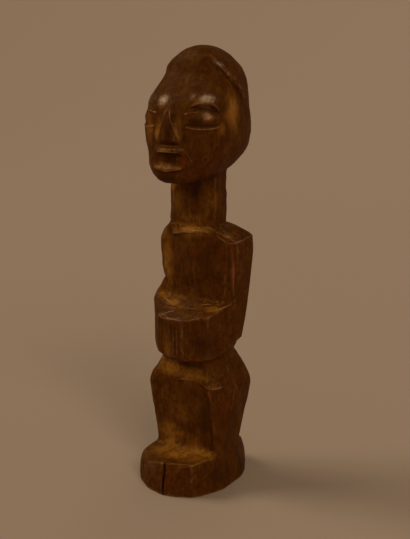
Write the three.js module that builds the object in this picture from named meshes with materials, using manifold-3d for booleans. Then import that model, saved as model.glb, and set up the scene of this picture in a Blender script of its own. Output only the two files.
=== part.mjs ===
import * as THREE from 'three';
import Module from 'manifold-3d';
import { ConvexGeometry } from 'three/addons/geometries/ConvexGeometry.js';
import { mergeVertices } from 'three/addons/utils/BufferGeometryUtils.js';

// Small standing figure cut from one block of hard wood. Millimetres, Z up.
// The figure faces -Y, and its own left side is +X.

// ---- driving sizes --------------------------------------------------------

const TOTAL_HEIGHT = 150;

// Every outline has ten corners, given as [across, back] from the axis and
// written in this order: front middle, front left (two), back left (two),
// back middle, back right (two), front right (two).
// Heights round an outline follow the same order.

// Base: a long rounded block, highest at the front, lower at the back and at
// the figure's right.
const SOLE = { left: 14.7, right: -14.4, front: -19.7, back: 17.6 };
const BASE_CUT = { frontLeft: [4.7, 10.6], backLeft: [5.8, 13.0],
  backRight: [6.2, 9.5], frontRight: [6.4, 4.0] };
const BASE_POINT = { front: 2.7, back: 1.2, at: -0.8 };
const RIM_IN = 0.4;
const RIM_HEIGHTS = [11.3, 11.9, 12.6, 8.6, 7.0, 6.2, 6.0, 6.0, 6.4, 9.0];
const BASE_DOME = { left: 14.15, right: -12.5, front: -17.8, back: 15.7 };
const DOME_HEIGHTS = [11.8, 12.1, 12.6, 10.8, 9.6, 9.0, 9.0, 9.6, 9.8, 10.9];
const BASE_CROWN = 12.7;
const CRACK = { x: 0.1, width: 0.7, depth: 3.2, z0: -1, z1: 13.5 };

// Legs and hips: one mass, wider towards the top, the legs not parted.
const LEG_FOOT = { z: 9, left: 14.0, right: -13.6, front: -10.0, back: 7.4 };
const LEG_KNEE = { z: 23, left: 14.8, right: -15.0, front: -10.0, back: 9.4 };
const HIP = { z: 36, left: 16.5, right: -16.9, front: -9.9, back: 11.2 };
const HIP_HEIGHTS = [37.4, 35.5, 36.0, 36.4, 36.6, 36.6, 36.4, 35.2, 34.4, 35.6];
const FOOT_CUT = { frontLeft: [0.6, 2.4], backLeft: [4.6, 4.0],
  backRight: [4.6, 5.0], frontRight: [2.4, 3.4] };
const KNEE_CUT = { frontLeft: [2.9, 4.4], backLeft: [4.6, 4.0],
  backRight: [4.6, 5.0], frontRight: [2.4, 3.4] };
const HIP_CUT = { frontLeft: [6.4, 6.6], backLeft: [5.0, 4.3],
  backRight: [5.0, 5.0], frontRight: [2.2, 3.2] };
const WAIST = { z: 45.5, left: 11.4, right: -11.6, front: -8.4, back: 9.2 };
const WAIST_TOP = { z: 51, left: 9.6, right: -11.0, front: -7.0, back: 8.0 };
const WAIST_CUT = { frontLeft: [4.2, 4.4], backLeft: [3.6, 3.4],
  backRight: [3.6, 3.4], frontRight: [3.4, 3.2] };
const LEG_RECESS = { left: 12.0, right: -3.5, depth: 1.3, z0: 13.0, z1: 34.0 };

// Forearms and hands: one wedge in front of the belly, its ridge a little to
// the figure's left of the middle, rising to the elbow on that side.
const HANDS = { left: 14.0, right: -15.8, front: -10.0, back: 7.4,
  ridge: 2.4, ridgeAt: 1.3 };
const HANDS_CUT = { frontLeft: [4.2, 8.4], backLeft: [3.0, 3.0],
  backRight: [3.4, 3.0], frontRight: [5.6, 5.4] };
const HANDS_BELOW = [45.0, 46.4, 49.6, 51.8, 52.0, 52.0, 52.0, 50.6, 47.0, 45.6];
const HANDS_ABOVE = [59.4, 61.4, 65.0, 65.4, 66.0, 66.0, 66.0, 66.0, 64.4, 59.4];
const HANDS_TOP = { left: 13.6, right: -15.2, front: -1.2, back: 9.6, ridge: 3.4 };
const HANDS_TOP_HEIGHTS = [66, 66.2, 66.2, 66.2, 67, 68, 69, 70.5, 70.2, 66];
const HANDS_UNDER = { z: 43.6, in: 4.0 };

// Torso: flat trunk with the upper arms left in the block, a low ridge down
// the chest.
const TRUNK_LOW = { left: 14.1, right: -14.2, front: -1.6, back: 8.7 };
const TRUNK_LOW_HEIGHTS = [54, 54, 50.6, 51.0, 51.2, 51.0, 50.6, 50.2, 50.2, 54];
const TRUNK_MID = { z: 70, left: 14.7, right: -14.4, front: -1.4, back: 13.2 };
const TRUNK_TOP = { z: 86.4, left: 15.1, right: -15.5, front: -1.6, back: 13.6 };
const CHEST_RIDGE = { out: 3.4, at: 1.6 };
const TRUNK_CUT = { frontLeft: [2.6, 1.4], backLeft: [3.2, 3.0],
  backRight: [3.2, 3.2], frontRight: [2.6, 1.6] };
const SHOULDER_HEIGHTS = [88.5, 88.0, 85.9, 86.6, 87.0, 87.4, 87.0, 86.6, 86.2, 87.4];
const COLLAR = { z: 90.6, left: 8.4, right: -12.4, front: -3.9, back: 10.6 };
const COLLAR_CUT = { frontLeft: [3.6, 3.4], backLeft: [3.6, 3.4],
  backRight: [3.4, 3.0], frontRight: [3.2, 3.0] };

// Neck: thick, eight-sided, a little to the figure's right of the middle.
const NECK = { left: 6.5, right: -11.4, front: -3.4, back: 9.6, z0: 87, z1: 114 };
const NECK_CUT = { frontLeft: [3.3, 2.9], backLeft: [3.3, 2.9],
  backRight: [3.3, 2.9], frontRight: [3.3, 2.9] };

// Head: height, half width, front and back of the middle line, and how much
// lower the front of the slice lies than its back.
const HEAD_SIDES = 40;
const HEAD_SQUARENESS = { front: 2.7, back: 2.5 };
const HEAD_MIDDLE_Y = -1.0;
const HEAD_SLICES = [
  { z: 109.6, x: -1.0, half: 7.2, front: -15.4, back: 8.4, dip: 3.4 },
  { z: 110.6, x: -1.0, half: 9.8, front: -17.4, back: 10.4, dip: 3.4 },
  { z: 112.4, x: -1.0, half: 11.8, front: -18.4, back: 12.2, dip: 3.0 },
  { z: 114.8, x: -0.7, half: 13.8, front: -18.2, back: 15.2, dip: 2.2 },
  { z: 117.4, x: -0.5, half: 15.2, front: -17.6, back: 17.6, dip: 1.2 },
  { z: 120.2, x: -0.5, half: 15.7, front: -17.0, back: 18.4, dip: 0.4 },
  { z: 123.6, x: -0.4, half: 15.9, front: -16.8, back: 18.6, dip: 0 },
  { z: 127.5, x: -0.4, half: 15.8, front: -16.6, back: 18.0, dip: 0 },
  { z: 131.4, x: -0.3, half: 15.2, front: -16.2, back: 17.8, dip: 0 },
  { z: 134.6, x: -0.1, half: 14.5, front: -13.6, back: 17.4, dip: 0 },
  { z: 137.6, x: 0.3, half: 13.3, front: -10.4, back: 17.3, dip: 0 },
  { z: 140.6, x: 0.8, half: 12.0, front: -7.6, back: 16.8, dip: 0 },
  { z: 143.4, x: 0.9, half: 10.7, front: -7.0, back: 15.6, dip: 0 },
  { z: 146.0, x: 1.0, half: 8.6, front: -5.8, back: 12.8, dip: 0 },
  { z: 148.4, x: 1.0, half: 5.6, front: -3.6, back: 8.6, dip: 0 },
  { z: 149.7, x: 1.0, half: 2.6, front: -0.6, back: 4.8, dip: 0 },
];

// Cap of hair: the head again, a shade larger, kept behind a slanting plane.
const CAP = { grow: 0.7, slant: 52, y: -5.2, z: 145.5 };

// Face.
const FACE_X = -0.6;
const NOSE = { bridge: 0.5, topY: -17.6, topZ: 131.5, mid: 2.4, wing: 5.2,
  tipY: -18.6, wingY: -16.6, rootY: -12, baseZ: 119.3 };
const LIPS = { half: 6.6, out: -19.9, ends: -18.2, root: -13,
  upperTop: 118.3, upperLow: 116.6, lowerTop: 113.2, lowerLow: 111.8, point: 110.6 };
const MOUTH = { half: 5.8, depth: 1.4 };
const EYE = { across: 10.2, y: -14.4, z: 127.0, long: 5.8, high: 2.7, deep: 2.2,
  turn: 38, bulge: 0.74, sunk: 1.1 };

// ---- shaping helpers ------------------------------------------------------

const wasm = await Module();
wasm.setup();

const toSolid = (geometry) => {
  const bare = geometry.clone();
  bare.deleteAttribute('normal');
  bare.deleteAttribute('uv');
  const merged = mergeVertices(bare, 1e-5);
  return new wasm.Manifold(new wasm.Mesh({
    numProp: 3,
    vertProperties: Float32Array.from(merged.attributes.position.array),
    triVerts: Uint32Array.from(merged.index.array),
  }));
};

const toGeometry = (solid) => {
  const mesh = solid.getMesh();
  const geometry = new THREE.BufferGeometry();
  geometry.setAttribute('position', new THREE.BufferAttribute(Float32Array.from(mesh.vertProperties), 3));
  geometry.setIndex(new THREE.BufferAttribute(Uint32Array.from(mesh.triVerts), 1));
  geometry.computeVertexNormals();
  return geometry;
};

// ten corners from an outer box, its four corner cuts and a point front and back
function outline(box, cut, point = {}) {
  const { left, right, front, back } = box;
  const at = point.at ?? 0;
  return [
    [at, front - (point.front ?? 0)],
    [left - cut.frontLeft[0], front],
    [left, front + cut.frontLeft[1]],
    [left, back - cut.backLeft[1]],
    [left - cut.backLeft[0], back],
    [at, back + (point.back ?? 0)],
    [right + cut.backRight[0], back],
    [right, back - cut.backRight[1]],
    [right, front + cut.frontRight[1]],
    [right + cut.frontRight[0], front],
  ];
}

const lift = (corners, z) => corners.map(([x, y], i) =>
  new THREE.Vector3(x, y, Array.isArray(z) ? z[i] : z));

const inset = (box, by) => ({ left: box.left - by, right: box.right + by,
  front: box.front + by, back: box.back - by });

// Closed skin through a stack of rings, bottom to top. Where four corners
// don't lie flat, the fold runs the way that leaves wood, as a knife would.
function stack(rings) {
  const n = rings[0].length;
  const points = rings.flat();
  const faces = [];
  for (let r = 0; r + 1 < rings.length; r++) {
    for (let i = 0; i < n; i++) {
      const a = r * n + i, b = r * n + (i + 1) % n;
      const [pa, pb, pc, pd] = [a, b, b + n, a + n].map((k) => points[k]);
      const out = pb.clone().sub(pa).cross(pc.clone().sub(pa));
      const folds = out.dot(pd.clone().sub(pa)) > 0;
      faces.push(...(folds ? [a, b, a + n, b, b + n, a + n] : [a, b, b + n, a, b + n, a + n]));
    }
  }
  const cap = (ring, up) => {
    const middle = new THREE.Vector3();
    rings[ring].forEach((p) => middle.addScaledVector(p, 1 / n));
    points.push(middle);
    const m = points.length - 1;
    for (let i = 0; i < n; i++) {
      const a = ring * n + i, b = ring * n + (i + 1) % n;
      faces.push(...(up ? [a, b, m] : [b, a, m]));
    }
  };
  cap(0, false);
  cap(rings.length - 1, true);
  const geometry = new THREE.BufferGeometry();
  geometry.setAttribute('position', new THREE.Float32BufferAttribute(points.flatMap((p) => [p.x, p.y, p.z]), 3));
  geometry.setIndex(faces);
  return toSolid(geometry);
}

const hull = (points) => toSolid(new ConvexGeometry(points.map((p) => new THREE.Vector3(...p))));

const union = (solids) => solids.reduce((sum, solid) => sum.add(solid));

// ---- base and its drying crack --------------------------------------------

const base = stack([
  lift(outline(SOLE, BASE_CUT, BASE_POINT), 0),
  lift(outline(inset(SOLE, RIM_IN), BASE_CUT, BASE_POINT), RIM_HEIGHTS),
  lift(outline(BASE_DOME, BASE_CUT, BASE_POINT), DOME_HEIGHTS),
  lift(outline(LEG_FOOT, FOOT_CUT), BASE_CROWN),
]);

const crackFace = SOLE.front - BASE_POINT.front;
const crack = hull([CRACK.z0, CRACK.z1].flatMap((z) => [
  [CRACK.x - CRACK.width * 0.7, crackFace - 2, z],
  [CRACK.x + CRACK.width * 0.7, crackFace - 2, z],
  [CRACK.x, crackFace + CRACK.depth, z],
]));

// ---- legs, hips and waist -------------------------------------------------

const legs = stack([
  lift(outline(LEG_FOOT, FOOT_CUT), LEG_FOOT.z),
  lift(outline(LEG_KNEE, KNEE_CUT), LEG_KNEE.z),
  lift(outline(HIP, HIP_CUT), HIP_HEIGHTS),
  lift(outline(WAIST, WAIST_CUT), WAIST.z),
  lift(outline(WAIST_TOP, WAIST_CUT), WAIST_TOP.z),
]);

const recessFront = HIP.front - 3;
const recess = hull([
  [LEG_RECESS.left, recessFront, LEG_RECESS.z0],
  [LEG_RECESS.left - 1, LEG_FOOT.front + LEG_RECESS.depth, LEG_RECESS.z0],
  [LEG_RECESS.right, LEG_FOOT.front, LEG_RECESS.z0],
  [LEG_RECESS.right, recessFront, LEG_RECESS.z0],
  [LEG_RECESS.left - 2, recessFront, LEG_RECESS.z1],
  [LEG_RECESS.left - 3, HIP.front + LEG_RECESS.depth, LEG_RECESS.z1],
  [LEG_RECESS.right, HIP.front, LEG_RECESS.z1],
  [LEG_RECESS.right, recessFront, LEG_RECESS.z1],
]);

// ---- forearms and hands ---------------------------------------------------

const handsPoint = { front: HANDS.ridge, at: HANDS.ridgeAt };
const hands = stack([
  lift(outline(inset(HANDS, HANDS_UNDER.in), HANDS_CUT, handsPoint), HANDS_UNDER.z),
  lift(outline(HANDS, HANDS_CUT, handsPoint), HANDS_BELOW),
  lift(outline(HANDS, HANDS_CUT, handsPoint), HANDS_ABOVE),
  lift(outline(HANDS_TOP, TRUNK_CUT, { front: HANDS_TOP.ridge, at: CHEST_RIDGE.at }), HANDS_TOP_HEIGHTS),
]);

// ---- torso, shoulders and neck --------------------------------------------

const chestPoint = { front: CHEST_RIDGE.out, at: CHEST_RIDGE.at };
const torso = stack([
  lift(outline(TRUNK_LOW, TRUNK_CUT, chestPoint), TRUNK_LOW_HEIGHTS),
  lift(outline(TRUNK_MID, TRUNK_CUT, chestPoint), TRUNK_MID.z),
  lift(outline(TRUNK_TOP, TRUNK_CUT, chestPoint), SHOULDER_HEIGHTS),
  lift(outline(COLLAR, COLLAR_CUT), COLLAR.z),
]);

const neck = stack([
  lift(outline(NECK, NECK_CUT), NECK.z0),
  lift(outline(NECK, NECK_CUT), NECK.z1),
]);

// ---- head and cap of hair -------------------------------------------------

function headSlice({ z, x: middle, half, front, back, dip }, grow = 0) {
  const ring = [];
  for (let i = 0; i < HEAD_SIDES; i++) {
    const turn = (2 * Math.PI * i) / HEAD_SIDES - Math.PI / 2;
    const c = Math.cos(turn), s = Math.sin(turn);
    const square = s < 0 ? HEAD_SQUARENESS.front : HEAD_SQUARENESS.back;
    const reach = (s < 0 ? HEAD_MIDDLE_Y - front : back - HEAD_MIDDLE_Y) + grow;
    const x = middle + Math.sign(c) * Math.abs(c) ** (2 / square) * (half + grow);
    const y = HEAD_MIDDLE_Y + Math.sign(s) * Math.abs(s) ** (2 / square) * reach;
    ring.push(new THREE.Vector3(x, y, z + dip * (y - back) / (back - front)));
  }
  return ring;
}

const head = stack(HEAD_SLICES.map((slice) => headSlice(slice)));

const slant = THREE.MathUtils.degToRad(CAP.slant);
const capBlock = new THREE.BoxGeometry(TOTAL_HEIGHT, TOTAL_HEIGHT, TOTAL_HEIGHT);
capBlock.translate(0, TOTAL_HEIGHT / 2, 0);
capBlock.rotateX(Math.PI / 2 - slant);
capBlock.translate(0, CAP.y, CAP.z);
const cap = stack(HEAD_SLICES.slice(2).map((slice) => headSlice(slice, CAP.grow)))
  .intersect(toSolid(capBlock));

// ---- face -----------------------------------------------------------------

const nose = hull([-1, 1].flatMap((side) => [
  [side * NOSE.bridge, NOSE.topY, NOSE.topZ],
  [side * NOSE.bridge, NOSE.rootY, NOSE.topZ + 2],
  [side * NOSE.mid, NOSE.tipY, NOSE.baseZ],
  [side * NOSE.wing, NOSE.wingY, NOSE.baseZ],
  [side * NOSE.wing, NOSE.rootY, NOSE.baseZ],
]));

const lip = (top, low, point) => hull([-1, 1].flatMap((side) => [
  [side * LIPS.half, LIPS.ends, top], [side * LIPS.half, LIPS.ends, low],
  [side * LIPS.half * 0.5, LIPS.out, top], [side * LIPS.half * 0.5, LIPS.out, low],
  [side * LIPS.half, LIPS.root, top], [side * LIPS.half, LIPS.root, low],
  [0, LIPS.out + 0.3, point], [0, LIPS.root, point],
]));
const upperLip = lip(LIPS.upperTop, LIPS.upperLow, LIPS.upperLow);
const lowerLip = lip(LIPS.lowerTop, LIPS.lowerLow, LIPS.point);
const mouth = hull([-1, 1].flatMap((side) => [LIPS.upperLow, LIPS.lowerTop].flatMap((z) => [
  [side * MOUTH.half, LIPS.out - 3, z], [side * MOUTH.half, LIPS.ends + 1, z],
  [side * MOUTH.half * 0.6, LIPS.out + MOUTH.depth + 1.4, z],
])));

function eyeShape(side, scale, sunk) {
  const ball = new THREE.SphereGeometry(1, 20, 12);
  ball.scale(EYE.long * scale, EYE.deep * scale, EYE.high * scale);
  ball.translate(0, sunk, 0);
  ball.rotateZ(side * THREE.MathUtils.degToRad(EYE.turn));
  ball.translate(side * EYE.across, EYE.y, EYE.z);
  return toSolid(ball);
}

// ---- one solid ------------------------------------------------------------

let figure = union([head, cap]).translate(-FACE_X, 0, 0).add(nose);
for (const side of [-1, 1]) {
  figure = figure.subtract(eyeShape(side, 1, 0)).add(eyeShape(side, EYE.bulge, EYE.sunk));
}
figure = union([figure, upperLip, lowerLip]).subtract(mouth).translate(FACE_X, 0, 0);
figure = union([figure, neck, torso, hands, legs.subtract(recess), base]).subtract(crack);

// the foot of the axis goes to the middle of the footprint, the sole to zero
const box = figure.boundingBox();
figure = figure.translate(-(box.min[0] + box.max[0]) / 2, -(box.min[1] + box.max[1]) / 2, -box.min[2])
  .scale([1, 1, TOTAL_HEIGHT / (box.max[2] - box.min[2])]);

const wood = new THREE.MeshStandardMaterial({ color: 0x5a3414, roughness: 0.5, metalness: 0 });
const part = new THREE.Group();
part.name = 'standing_figure';
const body = new THREE.Mesh(toGeometry(figure), wood);
body.name = 'figure';
part.add(body);

export default part;
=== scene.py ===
import math

import bpy
import numpy as np
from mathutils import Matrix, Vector


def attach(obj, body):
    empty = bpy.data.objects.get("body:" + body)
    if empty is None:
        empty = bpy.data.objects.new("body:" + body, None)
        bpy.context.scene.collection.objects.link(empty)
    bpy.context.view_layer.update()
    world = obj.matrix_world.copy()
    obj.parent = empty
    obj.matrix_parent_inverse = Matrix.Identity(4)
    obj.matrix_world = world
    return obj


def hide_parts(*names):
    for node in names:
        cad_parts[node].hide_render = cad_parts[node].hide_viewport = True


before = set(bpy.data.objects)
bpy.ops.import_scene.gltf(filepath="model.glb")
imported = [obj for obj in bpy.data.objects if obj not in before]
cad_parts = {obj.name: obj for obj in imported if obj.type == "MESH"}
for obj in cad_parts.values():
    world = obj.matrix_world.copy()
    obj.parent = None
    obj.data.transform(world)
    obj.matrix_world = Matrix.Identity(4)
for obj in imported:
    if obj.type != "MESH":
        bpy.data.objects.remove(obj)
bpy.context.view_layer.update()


# Camera
# A small standing figure seen from its left front and a little above, close by, so the
# base is looked down on while the crown is level with the eye.

MM = 0.001
CAMERA_AT = (169.04, -258.44, 150.0)
CAMERA_DOWN = 13.615
CAMERA_TURN = 32.629
CAMERA_LENS = 61.91

camera = bpy.data.objects.new("camera", bpy.data.cameras.new("camera"))
camera.data.sensor_width = 36.0
camera.data.lens = CAMERA_LENS
camera.data.clip_start = 0.01
camera.location = Vector(CAMERA_AT) * MM
camera.rotation_euler = (math.radians(90 - CAMERA_DOWN), 0, math.radians(CAMERA_TURN))
bpy.context.scene.collection.objects.link(camera)
bpy.context.scene.camera = camera


# The block, roughed out
# One piece of dark dense hardwood, hewn with an adze from the billet. The rough shape is
# the model's own solid, its skin cut into a fine even mesh that the knife can work on.

SKIN_STEP = 0.26
SAME_POINT = 0.01
NEAR_ROOT = 0.05
HALF_WAY_UP = 5
FIRST_WEAR = 4
CRACK_ROOT = (0.3, -17.65)
CRACK_MOUTH = {"low": (0.3, -20.62, 0.0), "high": (0.3, -20.22, 11.37)}

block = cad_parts["figure"]
figure = bpy.data.objects.new("carved_figure", block.data.copy())
bpy.context.scene.collection.objects.link(figure)
figure.data.materials.clear()
bpy.ops.object.select_all(action="DESELECT")
bpy.context.view_layer.objects.active = figure
figure.select_set(True)
bpy.ops.object.mode_set(mode="EDIT")
bpy.ops.mesh.select_all(action="SELECT")
bpy.ops.mesh.remove_doubles(threshold=SAME_POINT * MM)
bpy.ops.object.mode_set(mode="OBJECT")
# The drying crack is cut last, into the finished skin, so here its slot is closed.
for point in figure.data.vertices:
    if (point.co.xy / MM - Vector(CRACK_ROOT)).length < NEAR_ROOT:
        point.co = Vector(CRACK_MOUTH["low" if point.co.z < HALF_WAY_UP * MM else "high"]) * MM


def finish_modifier(piece, name, kind, **settings):
    """Adds a modifier with these settings and applies it."""
    modifier = piece.modifiers.new(name, kind)
    for key, value in settings.items():
        setattr(modifier, key, value)
    bpy.ops.object.select_all(action="DESELECT")
    bpy.context.view_layer.objects.active = piece
    piece.select_set(True)
    bpy.ops.object.modifier_apply(modifier=name)


finish_modifier(figure, "fine_skin", "REMESH", mode="VOXEL", voxel_size=SKIN_STEP * MM)


def smooth(x):
    """0 to 1 with soft ends."""
    x = np.clip(x, 0, 1)
    return x * x * (3 - 2 * x)


class Skin:
    """The points of the figure's skin in millimetres, and the moves that a knife makes on them."""

    def __init__(self, mesh):
        self.at = np.zeros(len(mesh.vertices) * 3)
        mesh.vertices.foreach_get("co", self.at)
        self.at = self.at.reshape(-1, 3) / MM
        edges = np.zeros(len(mesh.edges) * 2, int)
        mesh.edges.foreach_get("vertices", edges)
        self.edges = edges.reshape(-1, 2)
        mesh.calc_loop_triangles()
        corners = np.zeros(len(mesh.loop_triangles) * 3, int)
        mesh.loop_triangles.foreach_get("vertices", corners)
        self.faces = corners.reshape(-1, 3)
        self.look()

    def mean(self, value, edges=None):
        """Each point's mean of its neighbours' values."""
        a, b = (self.edges if edges is None else edges).T
        size = len(value)
        count = np.maximum(np.bincount(a, minlength=size) + np.bincount(b, minlength=size), 1)
        columns = [np.bincount(a, value[b, k], size) + np.bincount(b, value[a, k], size)
                   for k in range(value.shape[1])]
        return np.stack(columns, 1) / count[:, None]

    def look(self, rounds=4):
        """Finds the direction that the skin faces, evened out over a few points."""
        p = self.at[self.faces]
        turn = np.cross(p[:, 1] - p[:, 0], p[:, 2] - p[:, 0])
        out = np.zeros_like(self.at)
        for corner in range(3):
            for k in range(3):
                out[:, k] += np.bincount(self.faces[:, corner], turn[:, k], len(out))
        for _ in range(rounds):
            out = self.mean(out)
        self.out = out / np.linalg.norm(out, axis=1, keepdims=True)

    def wear(self, rounds, where=None):
        """Rubs the skin down. where holds each point's share of it."""
        if where is None:
            where = np.ones(len(self.at))
        worn = where > 0.001
        touched = worn[self.edges].any(1)
        some = np.unique(self.edges[touched])
        number = np.full(len(self.at), -1)
        number[some] = np.arange(len(some))
        edges = number[self.edges[touched]]
        local, share = self.at[some], (0.5 * where * worn)[some][:, None]
        for _ in range(rounds):
            local = local + share * (self.mean(local, edges) - local)
        self.at[some] = local
        self.look()

    def around(self, centre, reach, soft=0.5):
        """1 near a centre, 0 outside the ellipsoid of these half sizes, fading over the outer share."""
        d = np.linalg.norm((self.at - np.array(centre)) / np.array(reach), axis=1)
        return smooth((1 - d) / soft)

    def rub(self, places):
        """Rubs down places in turn, each given as rounds, centre, half sizes and outer share."""
        for rounds, centre, reach, soft in places:
            self.wear(rounds, self.around(centre, reach, soft))

    def swell(self, centre, reach, height, soft=1.0):
        """Raises a rounded lump, or sinks a hollow where height is below 0."""
        self.at += height * self.around(centre, reach, soft)[:, None] * self.out

    def laid(self, line, step=0.8):
        """The line in short steps, each laid on the nearest point of the skin."""
        line = np.array(line, float)
        run = np.concatenate([[0], np.cumsum(np.linalg.norm(np.diff(line, axis=0), axis=1))])
        places = np.linspace(0, run[-1], max(int(run[-1] / step), 1) + 1)
        line = np.stack([np.interp(places, run, line[:, k]) for k in range(3)], 1)
        near = self.at[((self.at > line.min(0) - 2) & (self.at < line.max(0) + 2)).all(1)]
        for i, spot in enumerate(line):
            line[i] = near[np.argmin(((near - spot) ** 2).sum(1))]
        for _ in range(2):
            line[1:-1] = (line[:-2] + 2 * line[1:-1] + line[2:]) / 4
        return line

    def band(self, line, above, below=None, up=(0, 0, 1), ends=1.0):
        """1 on a line and 0 this far above and below it, where up says which side is above."""
        below = above if below is None else below
        line, up = self.laid(line), np.array(up, float)
        reach = max(above, below) + 0.5
        near = np.where(((self.at > line.min(0) - reach) & (self.at < line.max(0) + reach)).all(1))[0]
        p = self.at[near]
        best = np.full(len(near), 1e9)
        side, share = np.zeros(len(near)), np.zeros(len(near))
        lengths = np.linalg.norm(np.diff(line, axis=0), axis=1)
        total, before = lengths.sum(), 0.0
        for a, b, length in zip(line[:-1], line[1:], lengths):
            along = (b - a) / length
            t = np.clip((p - a) @ along, 0, length)
            apart = p - (a + t[:, None] * along)
            distance = np.linalg.norm(apart, axis=1)
            across = up - along * (up @ along)
            closer = distance < best
            best[closer] = distance[closer]
            side[closer] = (apart @ across)[closer]
            share[closer] = (before + t)[closer]
            before += length
        wide = np.where(side > 0, above, below)
        fade = smooth((np.minimum(share, total - share) + 0.1) / max(ends, 0.1))
        band = np.zeros(len(self.at))
        band[near] = smooth(1 - best / wide) * fade
        return band

    def stroke(self, line, height, above, below=None, up=(0, 0, 1), ends=1.0, way=None):
        """Raises the skin along a line, or cuts it where height is below 0."""
        amount = height * self.band(line, above, below, up, ends)
        self.at += amount[:, None] * (self.out if way is None else np.array(way, float))

    def flatten(self, centre, facing, reach, share=1.0):
        """Presses a place flat, facing one way. share is how much of the way it goes."""
        spot = self.at[np.argmin(((self.at - np.array(centre)) ** 2).sum(1))].copy()
        rise = (self.at - spot) @ np.array(facing)
        self.at -= (share * self.around(spot, reach, 0.8) * rise)[:, None] * np.array(facing)

    def pare(self, centre, facing, along, wide, long, bite):
        """Takes one shallow chip off with the knife, of these half sizes, bite deep at its middle."""
        near = np.where((np.abs(self.at - centre) < 1.5 * max(wide, long)).all(1))[0]
        p = self.at[near] - centre
        along = along - facing * (along @ facing)
        along = along / np.linalg.norm(along)
        across = np.cross(facing, along)
        d = np.hypot(p @ along / long, p @ across / wide)
        floor = bite * np.where(d < 1, d * d - 1, 6 * (d - 1))
        lower = np.clip(p @ facing - floor, 0, 1.6 * bite)
        keep = smooth((1.5 - d) / 0.5) * smooth((self.out[near] @ facing - 0.3) / 0.3)
        self.at[near] -= (lower * keep)[:, None] * facing

    def knife_marks(self, low, high, how_many, wide, long, bite, upright, seed, spare=None):
        """Chips of random size taken off everywhere between two heights, but for the spared places.
        upright is the share of strokes that run up and down."""
        chance = np.random.default_rng(seed)
        open_skin = (self.at[:, 2] > low) & (self.at[:, 2] < high)
        if spare is not None:
            open_skin &= spare < 0.3
        for spot in chance.choice(np.where(open_skin)[0], how_many):
            facing = self.out[spot] + chance.normal(0, 0.05, 3)
            facing /= np.linalg.norm(facing)
            along = chance.normal(0, 1, 3)
            if chance.random() < upright and abs(facing[2]) < 0.8:
                along = np.array([0, 0, 1]) + 0.1 * along
            self.pare(self.at[spot].copy(), facing, along, chance.uniform(*wide), chance.uniform(*long),
                      chance.uniform(*bite))
        self.look()


skin = Skin(figure.data)
skin.wear(FIRST_WEAR)


# The head
# An egg of a head with a cap of hair. Forehead, temples and jaw are smooth knife work, the
# hair stands proud of the skin in one sharp edge at the side, which dies away over the crown.

HEAD_Z = 106.0
HAIR_EDGE = [(7.6, -3.7, 145.9), (9.4, -3.1, 144.9), (11.4, -2.1, 143.5), (12.7, -1.1, 141.4),
             (13.6, 0.7, 139.1), (14.3, 3.4, 136.9), (14.9, 5.5, 134.2)]
TOWARDS_LAMP = (0.635, -0.694, 0.339)
MIDDLE = -0.4


def other_side(line):
    """The same line on the figure's right side."""
    return [(2 * MIDDLE - x, y, z) for x, y, z in line]


head = smooth((skin.at[:, 2] - HEAD_Z) / 3)
by_edge = np.zeros(len(skin.at))
for line in (HAIR_EDGE, other_side(HAIR_EDGE)):
    for spot in line:
        by_edge = np.maximum(by_edge, skin.around(spot, (2.2, 2.2, 2.2), 0.6))
features = skin.around((MIDDLE, -17, 118), (9.5, 7, 14.5), 0.35)
skin.wear(260, head * (1 - by_edge) * (1 - features) * smooth((skin.at[:, 2] - 128) / 4))
skin.wear(70, head * (1 - by_edge) * (1 - features))
skin.wear(8, head * (1 - by_edge))
skin.knife_marks(low=138, high=150, how_many=60, wide=(1.8, 3.2), long=(2.4, 4.5),
                 bite=(0.05, 0.12), upright=0.2, seed=11, spare=by_edge)
skin.knife_marks(low=108, high=141, how_many=150, wide=(1.5, 3.0), long=(2.0, 4.0),
                 bite=(0.03, 0.07), upright=0.5, seed=12, spare=np.maximum(by_edge, features))
for line in (HAIR_EDGE, other_side(HAIR_EDGE)):
    skin.stroke(line, 0.5, 1.6, 0.9, up=(0, 1, 1), ends=4)
    skin.stroke([(x, y - 0.7, z - 0.8) for x, y, z in line], -0.3, 0.35, 0.4, up=(0, 1, 1), ends=5)
for spot in skin.laid(HAIR_EDGE[1:4]):
    skin.flatten(spot, TOWARDS_LAMP, (1.5, 1.5, 1.5))
skin.swell((MIDDLE, 3, 150), (9, 9, 4), 0.2)


# Eyes and brows
# Almond eyes set under an arched brow. Each eye is one long low bulge between a raised upper
# and lower lid, the lower almost straight. The figure's right eye is cut shallower.

EYE = (9.8, -12.9, 127.2)
BROW_BONE = (9.6, -11.5, 134.0)
BROW_FLAT = (11.4, -10.3, 133.2)
EYE_FLAT = (12.2, -10.8, 127.9)

BROW = [(6.4, -14.2, 130.4), (8.2, -13.5, 131.3), (9.7, -12.5, 131.9), (11.5, -11.1, 132.0),
        (12.8, -9.8, 131.5), (13.8, -8.4, 130.2), (14.6, -7.1, 128.3)]
EYE_BULGE = [(5.6, -14.4, 127.4), (7.8, -14.0, 127.4), (10.2, -12.8, 127.4), (12.4, -11.1, 127.3),
             (14.0, -8.9, 126.8)]
UPPER_LID = [(4.6, -14.6, 128.7), (7.0, -14.0, 129.4), (9.4, -12.6, 129.8)]
LOWER_LID = [(5.3, -14.8, 124.9), (8.0, -13.9, 124.4), (10.6, -12.2, 124.2), (12.8, -10.4, 124.3),
             (14.2, -8.4, 124.7), (14.9, -6.9, 125.3)]
UNDER_EYE = [(7.0, -14.4, 123.0), (9.3, -13.6, 122.6), (11.7, -12.0, 122.8)]

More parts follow.
